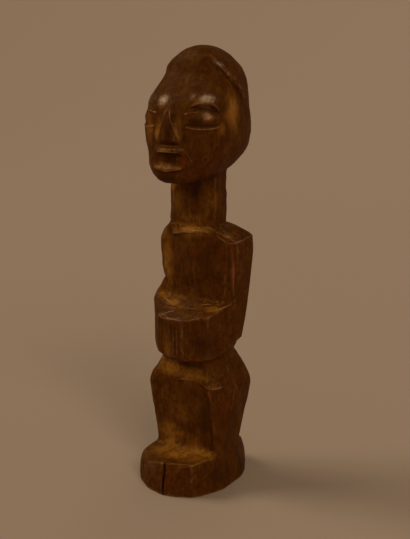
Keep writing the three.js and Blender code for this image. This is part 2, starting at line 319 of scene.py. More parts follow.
for turn in (list, other_side):
    skin.wear(220, skin.around(turn([EYE])[0], (7.2, 6.6, 4.6), 0.25))
skin.wear(150, skin.around((MIDDLE, -14, 134), (4.5, 6, 7), 0.5))
for turn, deep in ((list, 1.0), (other_side, 0.4)):
    skin.swell(turn([BROW_BONE])[0], (7.5, 7, 5), 0.35)
    if turn is list:
        skin.flatten(BROW_FLAT, TOWARDS_LAMP, (7, 7, 4.4))
    skin.stroke(turn(BROW), -1.0 * deep, 0.6, 2.8, ends=2.5)
    skin.look()
    skin.stroke(turn(EYE_BULGE), 0.9 * deep, 2.3, 2.3, ends=4)
    if turn is list:
        skin.flatten(EYE_FLAT, TOWARDS_LAMP, (3.8, 3.8, 2.6), 0.9)
    skin.look()
    skin.stroke(turn(UPPER_LID), 0.4, 0.4, 0.6, ends=1.0)
    skin.stroke([(x, y, z + 0.9) for x, y, z in turn(LOWER_LID)], -0.3 * deep, 0.5, 0.5, ends=1.2)
    skin.stroke(turn(LOWER_LID), 0.35, 0.45, 0.7, ends=1.2)
    skin.stroke(turn(UNDER_EYE), -0.12, 0.7, 0.4, ends=2)
skin.look()


# Nose and mouth
# A long wedge of a nose, flat in front, over a muzzle with a straight bar of an upper lip, a
# slot for the mouth, and a pointed lower lip that slopes out like a small shelf.

NOSE_EDGE = [(-0.1, -15.2, 130.6), (0.6, -16.3, 128.6), (1.2, -16.4, 126.6), (2.3, -16.1, 124.0),
             (3.5, -15.8, 121.4), (3.9, -15.7, 120.2)]
NOSE_FLAT = [(-0.2, -16.9, 126.0), (0.0, -17.2, 120.6)]

MUZZLE_FOLD = [(6.4, -16.1, 118.0), (7.2, -15.3, 116.0), (8.0, -14.8, 114.1), (8.3, -14.5, 113.2)]
SLOT_END = [(4.7, -15.6, 113.9), (4.7, -15.6, 116.1)]
UPPER_LIP = [(-5.8, -16.9, 117.2), (-3.6, -18.0, 117.4), (0.9, -18.2, 117.2), (4.5, -17.4, 117.6),
             (6.2, -15.9, 117.9)]
FAR_NOSTRIL = (-5.2, -15.3, 121.4)
SLOT_FLOOR = [(-5.0, -15.0, 114.9), (MIDDLE, -15.2, 114.9), (4.2, -15.0, 114.9)]
LIP_EDGE = [(-6.3, -16.8, 113.2), (-3.6, -18.0, 113.4), (MIDDLE, -18.6, 113.4), (2.8, -18.0, 113.4),
            (5.5, -16.8, 113.2)]
LIP_POINT = [(-6.2, -17.0, 112.2), (-4.0, -17.8, 110.9), (-1.8, -18.3, 110.2), (2.0, -17.9, 111.0),
             (5.2, -16.8, 112.4)]
LIP_WEAR = [(18, (MIDDLE, -17, 115), (8, 4, 5), 0.3), (40, (MIDDLE, -21, 115), (9, 3.6, 6), 0.6)]

skin.swell(FAR_NOSTRIL, (2.6, 3, 3.4), 0.8)
skin.wear(110, skin.around((MIDDLE, -16.6, 119.3), (6.0, 3, 1.7), 0.5))
for turn in (list, other_side):
    skin.stroke(turn(NOSE_EDGE), 0.5, 0.6, 1.3, up=(-1, 0, 0) if turn is list else (1, 0, 0), ends=2)
    skin.wear(60, skin.around(turn([(6.3, -15.6, 117.4)])[0], (3.0, 2.8, 2.4), 0.6))
    skin.wear(60, skin.around(turn([(6.3, -15.4, 112.4)])[0], (3.0, 2.8, 2.4), 0.6))
    skin.stroke(turn(SLOT_END), 1.5, 1.6, 2.4, up=(1, 0, 0), ends=0.2, way=(0, -1, 0))
    skin.wear(110, skin.around(turn([(4.6, -16.0, 115.0)])[0], (3.8, 3.2, 2.6), 0.6))
    skin.stroke(turn(MUZZLE_FOLD), 0.25, 0.4, 0.9, up=(1, 0, 0), ends=2)
skin.stroke(NOSE_FLAT, -0.2, 2.0, up=(1, 0, 0), ends=2)
skin.stroke(SLOT_FLOOR, 1.6, 1.8, ends=2, way=(0, -1, 0))
skin.wear(25, skin.around((MIDDLE, -17, 115), (7.5, 4, 2.6), 0.4))
skin.stroke([(x, y, z - 1.3) for x, y, z in UPPER_LIP], 0.9, 0.9, 0.8, ends=3, way=(0, -1, 0))
skin.stroke(UPPER_LIP, 0.3, 0.8, 0.9, ends=4)
skin.stroke(LIP_EDGE, 1.0, 1.0, 1.5, ends=1.5, way=(0, 0.7, -0.7))
skin.look()
skin.stroke(LIP_POINT, 0.5, 1.3, 0.8, ends=1)
skin.rub(LIP_WEAR)


# Neck and shoulders
# A thick neck, eight-sided from the knife and rubbed round, on a low ledge of a collar. The
# shoulder slopes off in one dished cut to a sharp corner above the arm.

COLLAR = [(-9.6, -1.2, 86.6), (-8.3, -1.4, 87.4), (-3.4, -2.4, 88.5), (0.6, -2.9, 88.9),
          (5.0, -2.4, 89.4), (8.2, -1.5, 88.8)]
COLLAR_TOP = [(-7.0, -1.7, 88.9), (-3.4, -2.2, 89.6), (0.6, -2.6, 90.0), (4.4, -2.0, 90.4)]
SHOULDER_EDGE = [(8.4, -1.4, 88.9), (11.7, -0.3, 86.2), (13.6, 0.5, 85.5), (15.0, 1.2, 85.9),
                 (15.2, 4.6, 86.5), (15.3, 8.4, 87.0)]
SHOULDER_DISH = (12.2, 5.0, 88.4)
SHOULDER_FOLD = [(9.4, -1.1, 88.2), (11.4, -0.4, 87.3), (13.2, 0.4, 86.8)]
COLLAR_WEAR = [
    # rounds, centre, half sizes, outer share
    (30, (MIDDLE, 3.5, 91), (11, 9, 2.2), 0.6),
    (80, (-10.5, 0.5, 89.5), (3, 4, 2.2), 0.5),
    (30, (-2.0, -2.6, 90.5), (9, 4, 1.5), 0.6),
]

skin.wear(45, smooth((skin.at[:, 2] - 91) / 2) * smooth((106.5 - skin.at[:, 2]) / 2))
skin.wear(90, skin.around((-13.6, 2.0, 86.0), (4.5, 7, 5.5), 0.6))
skin.knife_marks(low=90, high=107, how_many=80, wide=(1.0, 1.9), long=(2.0, 5.0),
                 bite=(0.03, 0.09), upright=0.7, seed=21)
skin.rub(COLLAR_WEAR)
for spot in COLLAR_TOP:
    skin.flatten(spot, (-0.08, -0.6, 0.8), (4.5, 3.0, 1.9))
skin.look()
skin.stroke(COLLAR, 0.45, 0.9, 0.5, ends=3)
skin.wear(60, skin.around(SHOULDER_DISH, (4.8, 5.2, 2.4), 0.5))
skin.swell(SHOULDER_DISH, (4.8, 4.8, 3), -0.75)
skin.stroke(SHOULDER_FOLD, -0.25, 0.6, 0.5, ends=1.5)
skin.stroke(SHOULDER_EDGE, 0.25, 0.5, 0.5, ends=2)
skin.look()


# Chest and arms
# The chest is gently rounded from arm to arm, with the arms one with it: only a worn corner
# shows where the near arm turns back, with a small knot in the wood beside it.

CHEST_RIDGE = [(2.2, -3.2, 88), (2.2, -3.2, 62)]
CHEST_LINE = [(1.9, -3.3, 78.7), (2.1, -3.2, 74.2), (2.2, -3.1, 69.7)]
OLD_CORNER = [(14.5, 1.0, 83.5), (15.0, 1.5, 78.0), (14.9, 1.6, 68.0)]
ARM_CORNER = [(13.6, 0.4, 85.3), (14.0, 0.8, 81.9), (14.4, 1.0, 78.1), (14.3, 1.0, 73.0),
              (14.3, 1.2, 66.2)]
ARM_LINE = [(11.8, -0.1, 76.5), (12.0, 0.0, 71.7), (11.9, 0.0, 67.0)]
KNOT = [(8.1, -1.4, 84.3), (9.7, -0.9, 83.5), (11.0, -0.5, 84.3), (10.4, -0.7, 85.5)]

skin.wear(90, skin.band(CHEST_RIDGE, 5.5, up=(1, 0, 0), ends=3))
skin.wear(60, skin.band(OLD_CORNER, 1.6, up=(1, 0, 0), ends=2))
skin.wear(40, skin.around((-12, 0.5, 75), (5, 5, 11), 0.5))
inner_back = smooth((skin.at[:, 1] - 4) / 3) * smooth((13.5 - np.abs(skin.at[:, 0])) / 3)
skin.wear(80, inner_back * smooth((92 - skin.at[:, 2]) / 4) * smooth((skin.at[:, 2] - 12) / 4))
skin.knife_marks(low=14, high=90, how_many=150, wide=(1.4, 3.0), long=(3.0, 8.0),
                 bite=(0.06, 0.16), upright=0.8, seed=32, spare=1 - inner_back)
skin.knife_marks(low=66, high=90, how_many=170, wide=(1.0, 2.2), long=(2.5, 6.0),
                 bite=(0.03, 0.1), upright=0.8, seed=31)
skin.stroke([(x - 1.6, y, z) for x, y, z in ARM_CORNER], -0.25, 1.0, 1.6, up=(1, 0, 0), ends=4)
skin.stroke(ARM_CORNER, 0.18, 0.45, 0.5, up=(1, 0, 0), ends=3)
skin.stroke(ARM_LINE, 0.15, 0.4, 0.6, up=(1, 0, 0), ends=3)
skin.stroke(CHEST_LINE, 0.12, 0.4, 0.6, up=(1, 0, 0), ends=3)
skin.stroke(KNOT, -0.15, 0.35, ends=0.6)
skin.look()


# Hands and forearms
# The forearms and hands are one block laid across the belly. Its top slopes back to the chest
# behind a worn rim, and its front keeps the open grain.

ARM_FOLD = [(-13.2, -1.9, 66.3), (-12.0, -1.7, 64.8), (-9.4, -3.0, 64.0), (-6.4, -4.3, 63.5),
            (-3.3, -5.3, 63.3)]
SECOND_FOLD = [(-10.1, -5.1, 62.2), (-6.1, -5.9, 62.3), (-2.5, -6.5, 62.5)]
LEDGE_BACK = [(-8.7, -3.6, 63.8), (-3.4, -5.4, 63.6), (1.4, -6.2, 63.4), (5.3, -5.6, 63.7),
              (8.3, -3.2, 64.7), (12, -0.6, 66)]
RIM = [(-4.0, -7.3, 61.6), (-6.6, -7.8, 60.6), (-7.8, -8.4, 60.0), (-8.8, -8.7, 59.3),
       (-8.5, -8.8, 58.8), (-4.9, -9.5, 59.1), (-1.0, -10.2, 59.6), (0.5, -10.3, 59.8)]
RIM_HOLLOW = [(-5.8, -8.5, 60.3), (-2.5, -8.6, 60.9)]
RIM_FACETS = [(2.5, -9.8, 60.4), (4.4, -9.2, 60.9), (6.6, -8.6, 61.3)]
GOLD_RIM = [(5.5, -7.9, 62.3), (7.9, -6.8, 62.9), (9.6, -5.7, 63.2), (11.1, -4.3, 63.6),
            (12.8, -2.2, 64.3), (14.2, 0.1, 65.1)]
LEDGE_CHIPS = [
    [(5.0, -4.9, 64.3), (7.0, -3.4, 64.9), (9.4, -2.6, 65.0)],
    [(6.4, -2.4, 65.6), (8.4, -2.0, 65.5), (10.7, -0.6, 66.1)],
    [(1.0, -6.3, 63.5), (3.2, -6.4, 63.4), (5.4, -5.6, 63.8)],
]
GRAIN_LINES = [(-7.4, 0.1, 0.4), (-5.8, -0.12, 0.5), (-4.6, 0.1, 0.5), (-3.5, -0.14, 0.5),
               (-2.2, -0.22, 0.6), (-0.9, 0.18, 0.5), (0.3, -0.16, 0.5), (1.5, 0.1, 0.4),
               (3.3, -0.15, 0.5), (4.8, 0.08, 0.6)]
HAND_FRONT = (-10.3, 45.5, 58.4)
HAND_FOOT = [(-9.0, -8.6, 46.2), (-5.8, -9.5, 45.0), (-2.0, -10.0, 44.6)]
ARM_WEAR = [
    # rounds, centre, half sizes, outer share
    (150, (-14.2, -1.5, 57), (5.0, 6.5, 15), 0.4),
    (200, (-12.8, -5.4, 60), (4, 5.5, 5.5), 0.4),
    (160, (13.8, 5.0, 48.5), (4.5, 9, 4.0), 0.5),
]

skin.rub(ARM_WEAR)
skin.wear(60, smooth((49 - skin.at[:, 2]) / 2) * smooth((skin.at[:, 2] - 42) / 2))
skin.knife_marks(low=45, high=60, how_many=110, wide=(0.9, 1.9), long=(2.5, 6.0),
                 bite=(0.04, 0.11), upright=0.9, seed=41)
skin.wear(40, skin.around((0, -4, 63.5), (15, 7, 3.2), 0.5))
skin.stroke(LEDGE_BACK, -0.3, 1.4, 2.0, ends=3)
skin.stroke(ARM_FOLD, 0.3, 0.9, 1.2, ends=2)
skin.stroke(SECOND_FOLD, 0.15, 0.5, 0.7, ends=2)
skin.stroke(RIM_HOLLOW, -0.15, 1.4, 1.2, up=(0, 1, 0), ends=1.5)
skin.stroke(HAND_FOOT, 0.8, 2.2, ends=3, way=(0, 0, -1))
skin.look()
for chip in LEDGE_CHIPS:
    skin.stroke(chip, 0.2, 0.35, 0.6, ends=1)
    skin.stroke([(x, y + 0.3, z - 0.7) for x, y, z in chip], -0.25, 0.4, 0.5, ends=1)
skin.stroke(RIM, 0.2, 0.45, 0.5, up=(0, 1, 0), ends=2)
skin.stroke(RIM_FACETS, -0.25, 1.0, 0.8, up=(0, 1, 0), ends=2)
skin.stroke(GOLD_RIM, 0.25, 0.8, 0.45, up=(0, 1, 1), ends=3)
skin.look()
front, low, high = HAND_FRONT
for x, rise, wide in GRAIN_LINES:
    skin.stroke([(x, front + 0.1 * abs(x), low), (x + 0.15, front + 0.1 * abs(x), (low + high) / 2),
                 (x, front + 0.1 * abs(x), high)], rise, wide, up=(1, 0, 0), ends=3)
skin.look()


# Hips and legs
# The hips flare out of the waist to a worn edge and taper to the foot. There are no separate
# feet or knees: one corner down the near leg, with a shallow hollow beside it, says legs.

HIP_EDGE = [(-4.5, -8.3, 36.8), (-0.8, -8.3, 37.7), (1.5, -8.2, 38.3), (3.9, -8.1, 38.6),
            (6.3, -8.0, 38.6)]
HIP_CHIPS = [
    # line, height
    ([(6.6, -8.1, 38.3), (8.4, -8.2, 36.8), (10.2, -7.8, 36.1), (12.6, -5.8, 36.2),
      (13.7, -4.4, 36.9)], 0.15),
    ([(8.2, -8.0, 39.6), (10.6, -7.0, 39.0), (12.2, -5.4, 39.4)], 0.06),
]
LEG_CORNER = [(10.2, -8.3, 35.2), (10.9, -8.0, 33.0), (12.0, -7.7, 28.5), (12.9, -7.5, 21.7),
              (13.4, -7.5, 17.2), (13.6, -7.8, 14.5)]
LEG_HOLLOW = [(8.6, -7.4, 32.0), (9.6, -7.3, 25.0), (11.0, -8.0, 17.5)]
HIP_WEAR = [
    # rounds, centre, half sizes, outer share
    (110, (-14, -5, 37), (5, 8, 6), 0.5),
    (80, (14, 0, 37), (7, 12, 5), 0.5),
    (60, (4, -8.5, 37.5), (9, 3, 2.5), 0.5),
]

legs = smooth((skin.at[:, 2] - 12.5) / 2) * smooth((43 - skin.at[:, 2]) / 2)
skin.wear(40, legs * (skin.at[:, 1] > -6))
beside_corner = 1 - skin.band(LEG_CORNER, 1.2, up=(1, 0, 0))
skin.wear(90, skin.around((4.0, -7.6, 28), (10.5, 2.6, 13), 0.3) * beside_corner)
skin.rub(HIP_WEAR)
skin.knife_marks(low=13, high=36, how_many=150, wide=(1.0, 2.4), long=(2.5, 6.0),
                 bite=(0.03, 0.11), upright=0.8, seed=51)
skin.knife_marks(low=34, high=46, how_many=70, wide=(1.2, 2.2), long=(1.5, 3.5),
                 bite=(0.04, 0.12), upright=0.4, seed=52)
skin.wear(150, skin.around((1, -9.5, 13.2), (15, 3.5, 3.0), 0.5))
skin.stroke(LEG_HOLLOW, -0.15, 1.5, 3.0, up=(1, 0, 0), ends=4)
skin.wear(12, skin.band(LEG_CORNER, 1.2, up=(1, 0, 0), ends=2))
skin.stroke(HIP_EDGE, 0.18, 0.5, 0.6, ends=3)
for chip, rise in HIP_CHIPS:
    skin.stroke(chip, rise, 0.4, 0.6, ends=1.5)
    skin.stroke([(x, y, z + 1.1) for x, y, z in chip], -1.6 * rise, 1.2, 0.8, ends=1.5)
skin.look()


# Base
# A low rounded block, its top domed towards the legs. Its walls were cut in planes and have
# worn round, and a thin edge is left along the top in front.

BASE_RIM = [
    [(-13.6, -13.6, 4.6), (-12.5, -14.7, 5.6), (-8.0, -17.5, 7.3), (-4.3, -19.1, 8.7),
     (-1.1, -20.3, 9.9)],
    [(1.0, -20.1, 10.1), (3.8, -19.3, 10.4), (6.6, -18.6, 10.7), (9.4, -17.9, 11.4)],
    [(9.6, -17.8, 11.6), (10.9, -14.6, 12.2), (12.0, -11.3, 12.5), (13.2, -8.4, 12.9)],
]
FRONT_CORNER = [(9.8, -17.9, 11.1), (9.8, -18.1, 6.8), (9.6, -18.3, 1.3)]
BESIDE_CRACK = [(0.4, -20.6, 10.4), (0.4, -20.8, 6.0), (0.3, -20.9, 1.0)]
BESIDE_CRACK_BY = 0.65
WALL_TOP = 9.0
WALL_STEPS, WALL_EVENING = 180, 12
BASE_WEAR = [
    # rounds, centre, half sizes, outer share
    (60, (-14.5, 0, 9.5), (5, 8, 4), 0.5),
    (60, (-10, 13, 12), (7, 8, 4), 0.5),
    (60, (10, 13, 12), (7, 8, 4), 0.5),
]
BASE_FULLNESS = [
    # centre, half sizes, how far out
    ((-11.5, -12.0, 9.5), (5.5, 7, 5), 1.3),
    ((-5.5, -18.6, 3), (6, 5, 8), 0.8),
    ((2.5, -19.8, 3), (6.5, 5, 8), 1.1),
    ((12, 16.5, 0), (6, 7, 5), -0.6),
]

# The outline of the walls, found in small steps all the way round, is evened out, and every
# point moves out or in with it.
turned = (np.arctan2(skin.at[:, 1], skin.at[:, 0]) / math.tau % 1) * WALL_STEPS
out_from_middle = np.hypot(skin.at[:, 0], skin.at[:, 1])
outline = np.zeros(WALL_STEPS)
np.maximum.at(outline, turned.astype(int) % WALL_STEPS, out_from_middle * (skin.at[:, 2] < 3))
rounded = outline
for _ in range(WALL_EVENING):
    rounded = (np.roll(rounded, 1) + 2 * rounded + np.roll(rounded, -1)) / 4
steps = np.arange(WALL_STEPS) + 0.5
change = np.interp(turned, steps, rounded - outline, period=WALL_STEPS)
change *= (out_from_middle / np.interp(turned, steps, outline, period=WALL_STEPS)) ** 4
change *= smooth((WALL_TOP + 2 - skin.at[:, 2]) / 3)
skin.at[:, :2] *= (1 + change / np.maximum(out_from_middle, 1))[:, None]
skin.look()
skin.wear(30, smooth((9.0 - skin.at[:, 2]) / 1.5) * smooth((skin.at[:, 2] - 0.4) / 1.0))
skin.rub(BASE_WEAR)
for centre, reach, height in BASE_FULLNESS:
    skin.swell(centre, reach, height)
skin.look()
skin.knife_marks(low=0, high=10, how_many=80, wide=(1.2, 2.6), long=(2.0, 5.0),
                 bite=(0.04, 0.12), upright=0.9, seed=61)
skin.knife_marks(low=9, high=14, how_many=40, wide=(1.0, 2.4), long=(1.5, 3.0),
                 bite=(0.04, 0.12), upright=0.3, seed=62)
skin.wear(60, skin.around((0, -13, 11.6), (14, 6.5, 2.4), 0.5))
for line, rise in zip(BASE_RIM, (0.1, 0.15, 0.18)):
    skin.stroke(line, rise, 0.45, 0.6, ends=2)
skin.stroke(FRONT_CORNER, 0.1, 0.5, up=(1, 0, 0), ends=3)
for side in (-BESIDE_CRACK_BY, BESIDE_CRACK_BY):
    skin.stroke([(x + side, y, z) for x, y, z in BESIDE_CRACK], 0.1, 0.4, up=(1, 0, 0), ends=2)
skin.look()


# The two sides trued
# Last, the outline is trued from side to side: these are the amounts by which each side of
# the block comes out, or in below 0, at each height.

NEAR_SIDE = (0.84, 0.54, 0)
NEAR_OUT = [(0, 0.9), (4.5, 0.5), (7, 0.1), (12, 0), (16, -0.05), (19, 0.15), (22, 0.5), (28, 0.85),
            (31, 0.85), (35, 0.85), (36.5, 0.8), (38.2, 1.0), (41, 1.1), (43.3, 1.05), (48, 0.5),
            (50.2, 0.35), (52, 0.15), (57, 0.2), (60, 0), (68.5, -0.2), (73, 0), (77, 0.18),
            (81, 0.38), (83, 0.38), (86, 0), (89, 0.5), (91, 0.22), (95, 0.6), (99, 0.5), (101, 0.65),
            (103, 0.3), (108, 0.5), (110.4, 0.85), (112.2, 0.7), (116.7, 0.35), (120, 0.2),
            (121.5, 0.05), (123.5, -0.45), (126, -0.6), (130, -0.65), (136.3, -0.25), (139.5, 0),
            (144.3, -0.5), (146, -0.7), (148, -0.3), (150, 0)]
FAR_SIDE = (-0.84, -0.54, 0)
FAR_OUT = [(0, 1.1), (3, 1.4), (6, 1.4), (9, 1.1), (10.5, 0.55), (12.2, -0.3), (13.5, -0.6),
           (15, -0.75), (19, -0.65), (22, -0.4), (26, -0.1), (33, -0.1), (35.5, 0), (38, 0.2),
           (40.5, -0.5), (43, -0.6), (46, 0.2), (57, 0.25), (60, 0.5), (63, 0.75), (66, 0.85),
           (68, 0.25), (70, 0.05), (72, 0.65), (75, 1.0), (80, 0.77), (83, 0.9), (84.5, 0.8),
           (86.3, 0.35), (88, 0.2), (90, -0.5), (92, 0.2), (94, 0.3), (97, 0.05), (102.5, 0.1),
           (105, -0.15), (108, -0.65), (112, -0.65), (114, -1.0), (116, -1.15), (117.5, -1.0),
           (119, -0.65), (121, -0.45), (123, -0.2), (128, -0.1), (132, -0.25), (135, -0.2),
           (140, 0.05), (143, 0.3), (146, 0), (150, 0)]

for side, outs in ((NEAR_SIDE, NEAR_OUT), (FAR_SIDE, FAR_OUT)):
    heights, amounts = np.array(outs).T
    share = smooth((skin.out @ np.array(side) + 0.1) / 0.8)
    skin.at += (np.interp(skin.at[:, 2], heights, amounts) * share)[:, None] * np.array(side)
skin.at[:, 2] = np.maximum(skin.at[:, 2], 0)


# Grain and shrinkage
# The wood has moved a little since it was cut: the faces are not quite flat, and the grain
# stands up in fine upright ribs where it was cut along.

WARP = (0.1, (6, 6, 9))
RIBS = (0.03, (1.3, 1.3, 9))
PITS = (0.03, (0.9, 0.9, 1.2))


def grain_noise(at, size, seed):
    """Soft noise from -1 to 1 at these points, in lumps of this size in each direction."""
    table = np.random.default_rng(seed).random(4096) * 2 - 1
    p = at / np.array(size) + 100.0
    cell = np.floor(p).astype(np.int64)
    part = smooth(p - cell)
    total = np.zeros(len(at))
    for corner in range(8):
        step = np.array([corner & 1, corner >> 1 & 1, corner >> 2 & 1])
        c = cell + step
        pick = (c[:, 0] * 73856093 ^ c[:, 1] * 19349663 ^ c[:, 2] * 83492791) & 4095
        total += table[pick] * np.prod(np.where(step, part, 1 - part), axis=1)
    return total


skin.look()
along_grain = 1 - np.abs(skin.out[:, 2])
warp = WARP[0] * grain_noise(skin.at, WARP[1], 3) + PITS[0] * grain_noise(skin.at, PITS[1], 7)
warp += RIBS[0] * grain_noise(skin.at, RIBS[1], 5) * along_grain
skin.at += warp[:, None] * skin.out
skin.wear(1)
skin.at[:, 2] = np.maximum(skin.at[:, 2], 0)


# Wear, dust, painted shade and painted light
# Where hands have rubbed, edges are worn down to lighter wood and polished. Dust and old
# honey-coloured wood stay in the sheltered ledges. Painted shade darkens the hollows, creases,
# undersides and the sides turned from the lamps, and painted light brightens lit spots of the face.

EDGE_SIZE, EDGE_FROM, EDGE_FULL = 6, 0.015, 0.13
HOLLOW_SIZE, HOLLOW_FULL = 90, 0.30
# Pale honey wood and dust on the ledges, and painted light where marked.
PALE_AND_LIT_SPOTS = [
    # middle, half sizes, how pale
    ((-11.5, -0.8, 76), (3.8, 3.4, 13), 0.8),
    ((-2.0, -2.6, 89.8), (12, 5, 3.4), 1.0),
    ((-12.0, 0.5, 86.5), (4, 4, 4), 0.5),
    ((12.0, 1.5, 87.8), (3.5, 4, 2), 0.5),
    ((-11.8, -2.2, 65.0), (3.4, 3, 2.8), 0.9),
    ((-6.5, -4.2, 63.6), (4.5, 2.8, 1.8), 0.9),
    ((-2.0, -5.8, 62.8), (4, 2.5, 1.6), 0.5),
    ((10.5, -4.8, 63.6), (5.0, 3.5, 1.3), 0.75),
    ((-6.0, -7.2, 41.5), (9, 4, 4.5), 0.8),
    ((-10.0, -5.2, 43.5), (4, 3.5, 2.6), 1.0),
    ((5.0, -7.0, 40.0), (9, 4, 3.6), 0.6),
    ((12.0, -6.8, 37.2), (3.6, 3, 2.2), 0.4),
    ((-5.0, -9.2, 16.5), (9, 3, 7), 1.0),
    ((3.5, -9.2, 15.5), (7, 3, 5), 0.8),
    ((0.0, -11.0, 13.0), (14, 3.5, 2.4), 1.0),
    ((-2.0, -9.2, 25), (8, 3, 7), 0.35),
    ((0.0, -12.5, 12.2), (14, 6.5, 2.6), 1.0),
    ((8.0, -9.5, 13.2), (8, 2.6, 2.0), 1.0),
    ((-8.5, -1.0, 104.2), (3.4, 3, 3.4), 0.75),
    ((-2.0, -1.0, 93.2), (9, 4, 2.4), 0.5),
    ((5.5, 1.0, 99), (3, 4, 7), 0.3),
    ((-6.5, -1.2, 99), (3.4, 3, 7), 0.45),
    # painted light: the temple, turned to the right lamp, is made paler
    ((15.0, -1.0, 130.0), (4.5, 5.5, 9), 1.0),
    ((14.5, -7.0, 124.2), (2.4, 2.6, 2.8), 0.5),
    # painted highlight: paler colour under the glints on both brows
    ((10.0, -11.2, 133.0), (4.6, 3.5, 2.4), 0.75),
    ((-3.9, -13.1, 132.4), (2.4, 2.5, 3.2), 0.6),
    # painted light on the lit sides of the nose
    ((3.3, -15.5, 124), (2.0, 2, 5.5), 1.0),
    ((-4.4, -15.5, 123.5), (2.2, 2, 6), 0.9),
    # painted light on the lit tops of the upper and lower lip
    ((-1.5, -18.0, 117.0), (5.2, 2, 1.8), 0.8),
    ((MIDDLE, -17.7, 112.2), (6.8, 2.6, 1.9), 1.0),
    ((-9.0, -13.4, 124), (3, 3, 7), 0.65),
    ((-5.5, -9.6, 49), (3.6, 3, 6.5), 0.5),
    # painted highlight on the bulge of the near eye
    ((12.2, -11.2, 128.3), (2.8, 2.6, 1.8), 0.8),
]
# Painted shade: darker colour in the mouth slot, on the front of the nose, under the nose, brow, jaw,
# chin and hands, on the inner corner of the eye, in the leg hollow, on the chest beside its ridge, on
# the near side of the hands, legs and base, and low on the base's far front.
SHADE_SPOTS = [
    ((-1.4, -16.5, 114.8), (5.4, 3, 1.6), 0.3),
    ((0.2, -17.0, 122.4), (2.2, 1.8, 4.2), 1.0),
    ((0.0, -16.5, 119.3), (5.2, 2, 1.0), 0.7),
    ((10.5, -11.8, 130.9), (4.8, 3, 1.4), 1.0),
    ((8.2, -13.6, 127.0), (3.0, 2, 2.0), 0.6),
    ((5.5, -2.0, 78), (6.5, 3, 10), 0.45),
    ((1.0, -2.0, 102.5), (2.6, 3, 4.5), 0.9),
    ((7.0, -8.0, 52), (7.5, 5, 6.5), 0.5),
    ((8.4, -7.4, 25), (4.0, 2.5, 10), 0.7),
    ((-12.0, -13.0, 3), (5, 5, 4.5), 0.4),
    ((MIDDLE, -14, 108.4), (8, 6, 1.8), 0.7),
    ((1.5, -7.5, 43), (6.5, 3, 1.5), 0.9),
    ((14.5, -3.0, 22), (3, 6, 12), 0.4),
    ((14.0, -8.0, 6), (4, 8, 6), 0.4),
    ((15.0, 8.0, 6), (4, 8, 8), 0.6),
]
RED_SPOTS = [
    ((5.9, -16.2, 114.6), (2.4, 2.6, 2.8), 0.9),
    ((MIDDLE, -17.4, 110.0), (7, 3, 1.1), 0.9),
    ((9.9, -8.4, 33.6), (1.8, 2, 1.8), 1.0),
    ((14.0, 1.0, 84.4), (1.8, 3, 2.4), 0.8),
    ((14.3, 0.9, 76.0), (1.3, 2, 10), 0.8),
    ((-11.0, -1.8, 80.0), (1.4, 2, 6), 0.6),
    ((3.0, -9.6, 46.4), (9, 3, 1.2), 0.6),
    ((-8.0, -17.5, 6.6), (4.5, 3, 1.8), 0.7),
    ((2.6, -19.6, 8.4), (1.8, 2, 2.0), 0.9),
    ((2.4, -16.2, 125), (1.2, 2, 4), 0.5),
    ((3.2, -9.8, 53.8), (1.6, 1.6, 1.6), 0.8),
    ((10.0, -9.0, 112), (5, 6, 5), 0.3),
    ((14.5, -4.0, 28), (3, 5, 9), 0.35),
]
OLIVE_SPOTS = [
    ((0.0, -4.5, 146), (6.5, 4, 3.4), 0.7),
    ((-14.5, -1.0, 62), (3, 5, 7), 0.8),
    ((2.0, -8.8, 61), (5, 2.5, 1.2), 0.6),
    ((9.0, 0.5, 90), (3.6, 3, 1.6), 0.8),
    ((1.5, -9.8, 51.5), (1.8, 2, 5), 0.5),
    ((-8.0, -8.8, 52), (3.5, 3, 6), 0.4),
    ((2.0, -9.0, 27), (3.4, 2, 8), 0.35),
    ((-10.0, -13.0, 9), (4.5, 5, 3), 0.7),
    ((-6.0, -1.5, 97), (4, 3, 3.4), 0.5),
]
POLISHED_SPOTS = [
    ((11.2, -10.6, 134.0), (6.5, 6, 3.6), 1.0),
    ((-3.9, -13.1, 133.0), (2.6, 3, 2.8), 1.0),
    ((-11.2, -11.0, 133.4), (4.8, 4.4, 2.6), 0.8),
    ((12.2, -11.0, 128.0), (3.8, 3.6, 2.4), 0.6),
    ((-1.8, -15.8, 127.4), (1.8, 2, 4.4), 1.0),
    ((2.6, -16.0, 124.0), (1.6, 2, 5.0), 0.3),
    ((MIDDLE, -18.0, 117.4), (6, 2, 1.2), 0.5),
    ((MIDDLE, -18.0, 112), (6, 2.5, 1.2), 0.4),
    ((-8.2, -8.6, 59.6), (2.2, 2, 1.6), 0.3),
    ((-5.0, -19.0, 8.6), (7, 3, 1.6), 0.6),
    ((15.2, 0.0, 131.5), (2, 4, 3), 0.5),
]
POLISHED_LINES = [
    # line, how far above and below it, which way is above
    (HAIR_EDGE[:5], 0.6, 0.9, (0, 1, 1)),
    (RIM, 0.5, 0.5, (0, 1, 0)),
    (SHOULDER_EDGE[1:5], 0.5, 0.5, (0, 0, 1)),
]


def stretched(value, rounds):
    """A value evened out over the skin, over more of it the more rounds it goes."""
    for _ in range(rounds):
        value = skin.mean(value)
    return value


def painted(spots):
    """Each point's share of these soft spots."""
    share = np.zeros(len(skin.at))
    for centre, reach, amount in spots:
        share = np.maximum(share, amount * skin.around(centre, reach, 0.85))
    return share


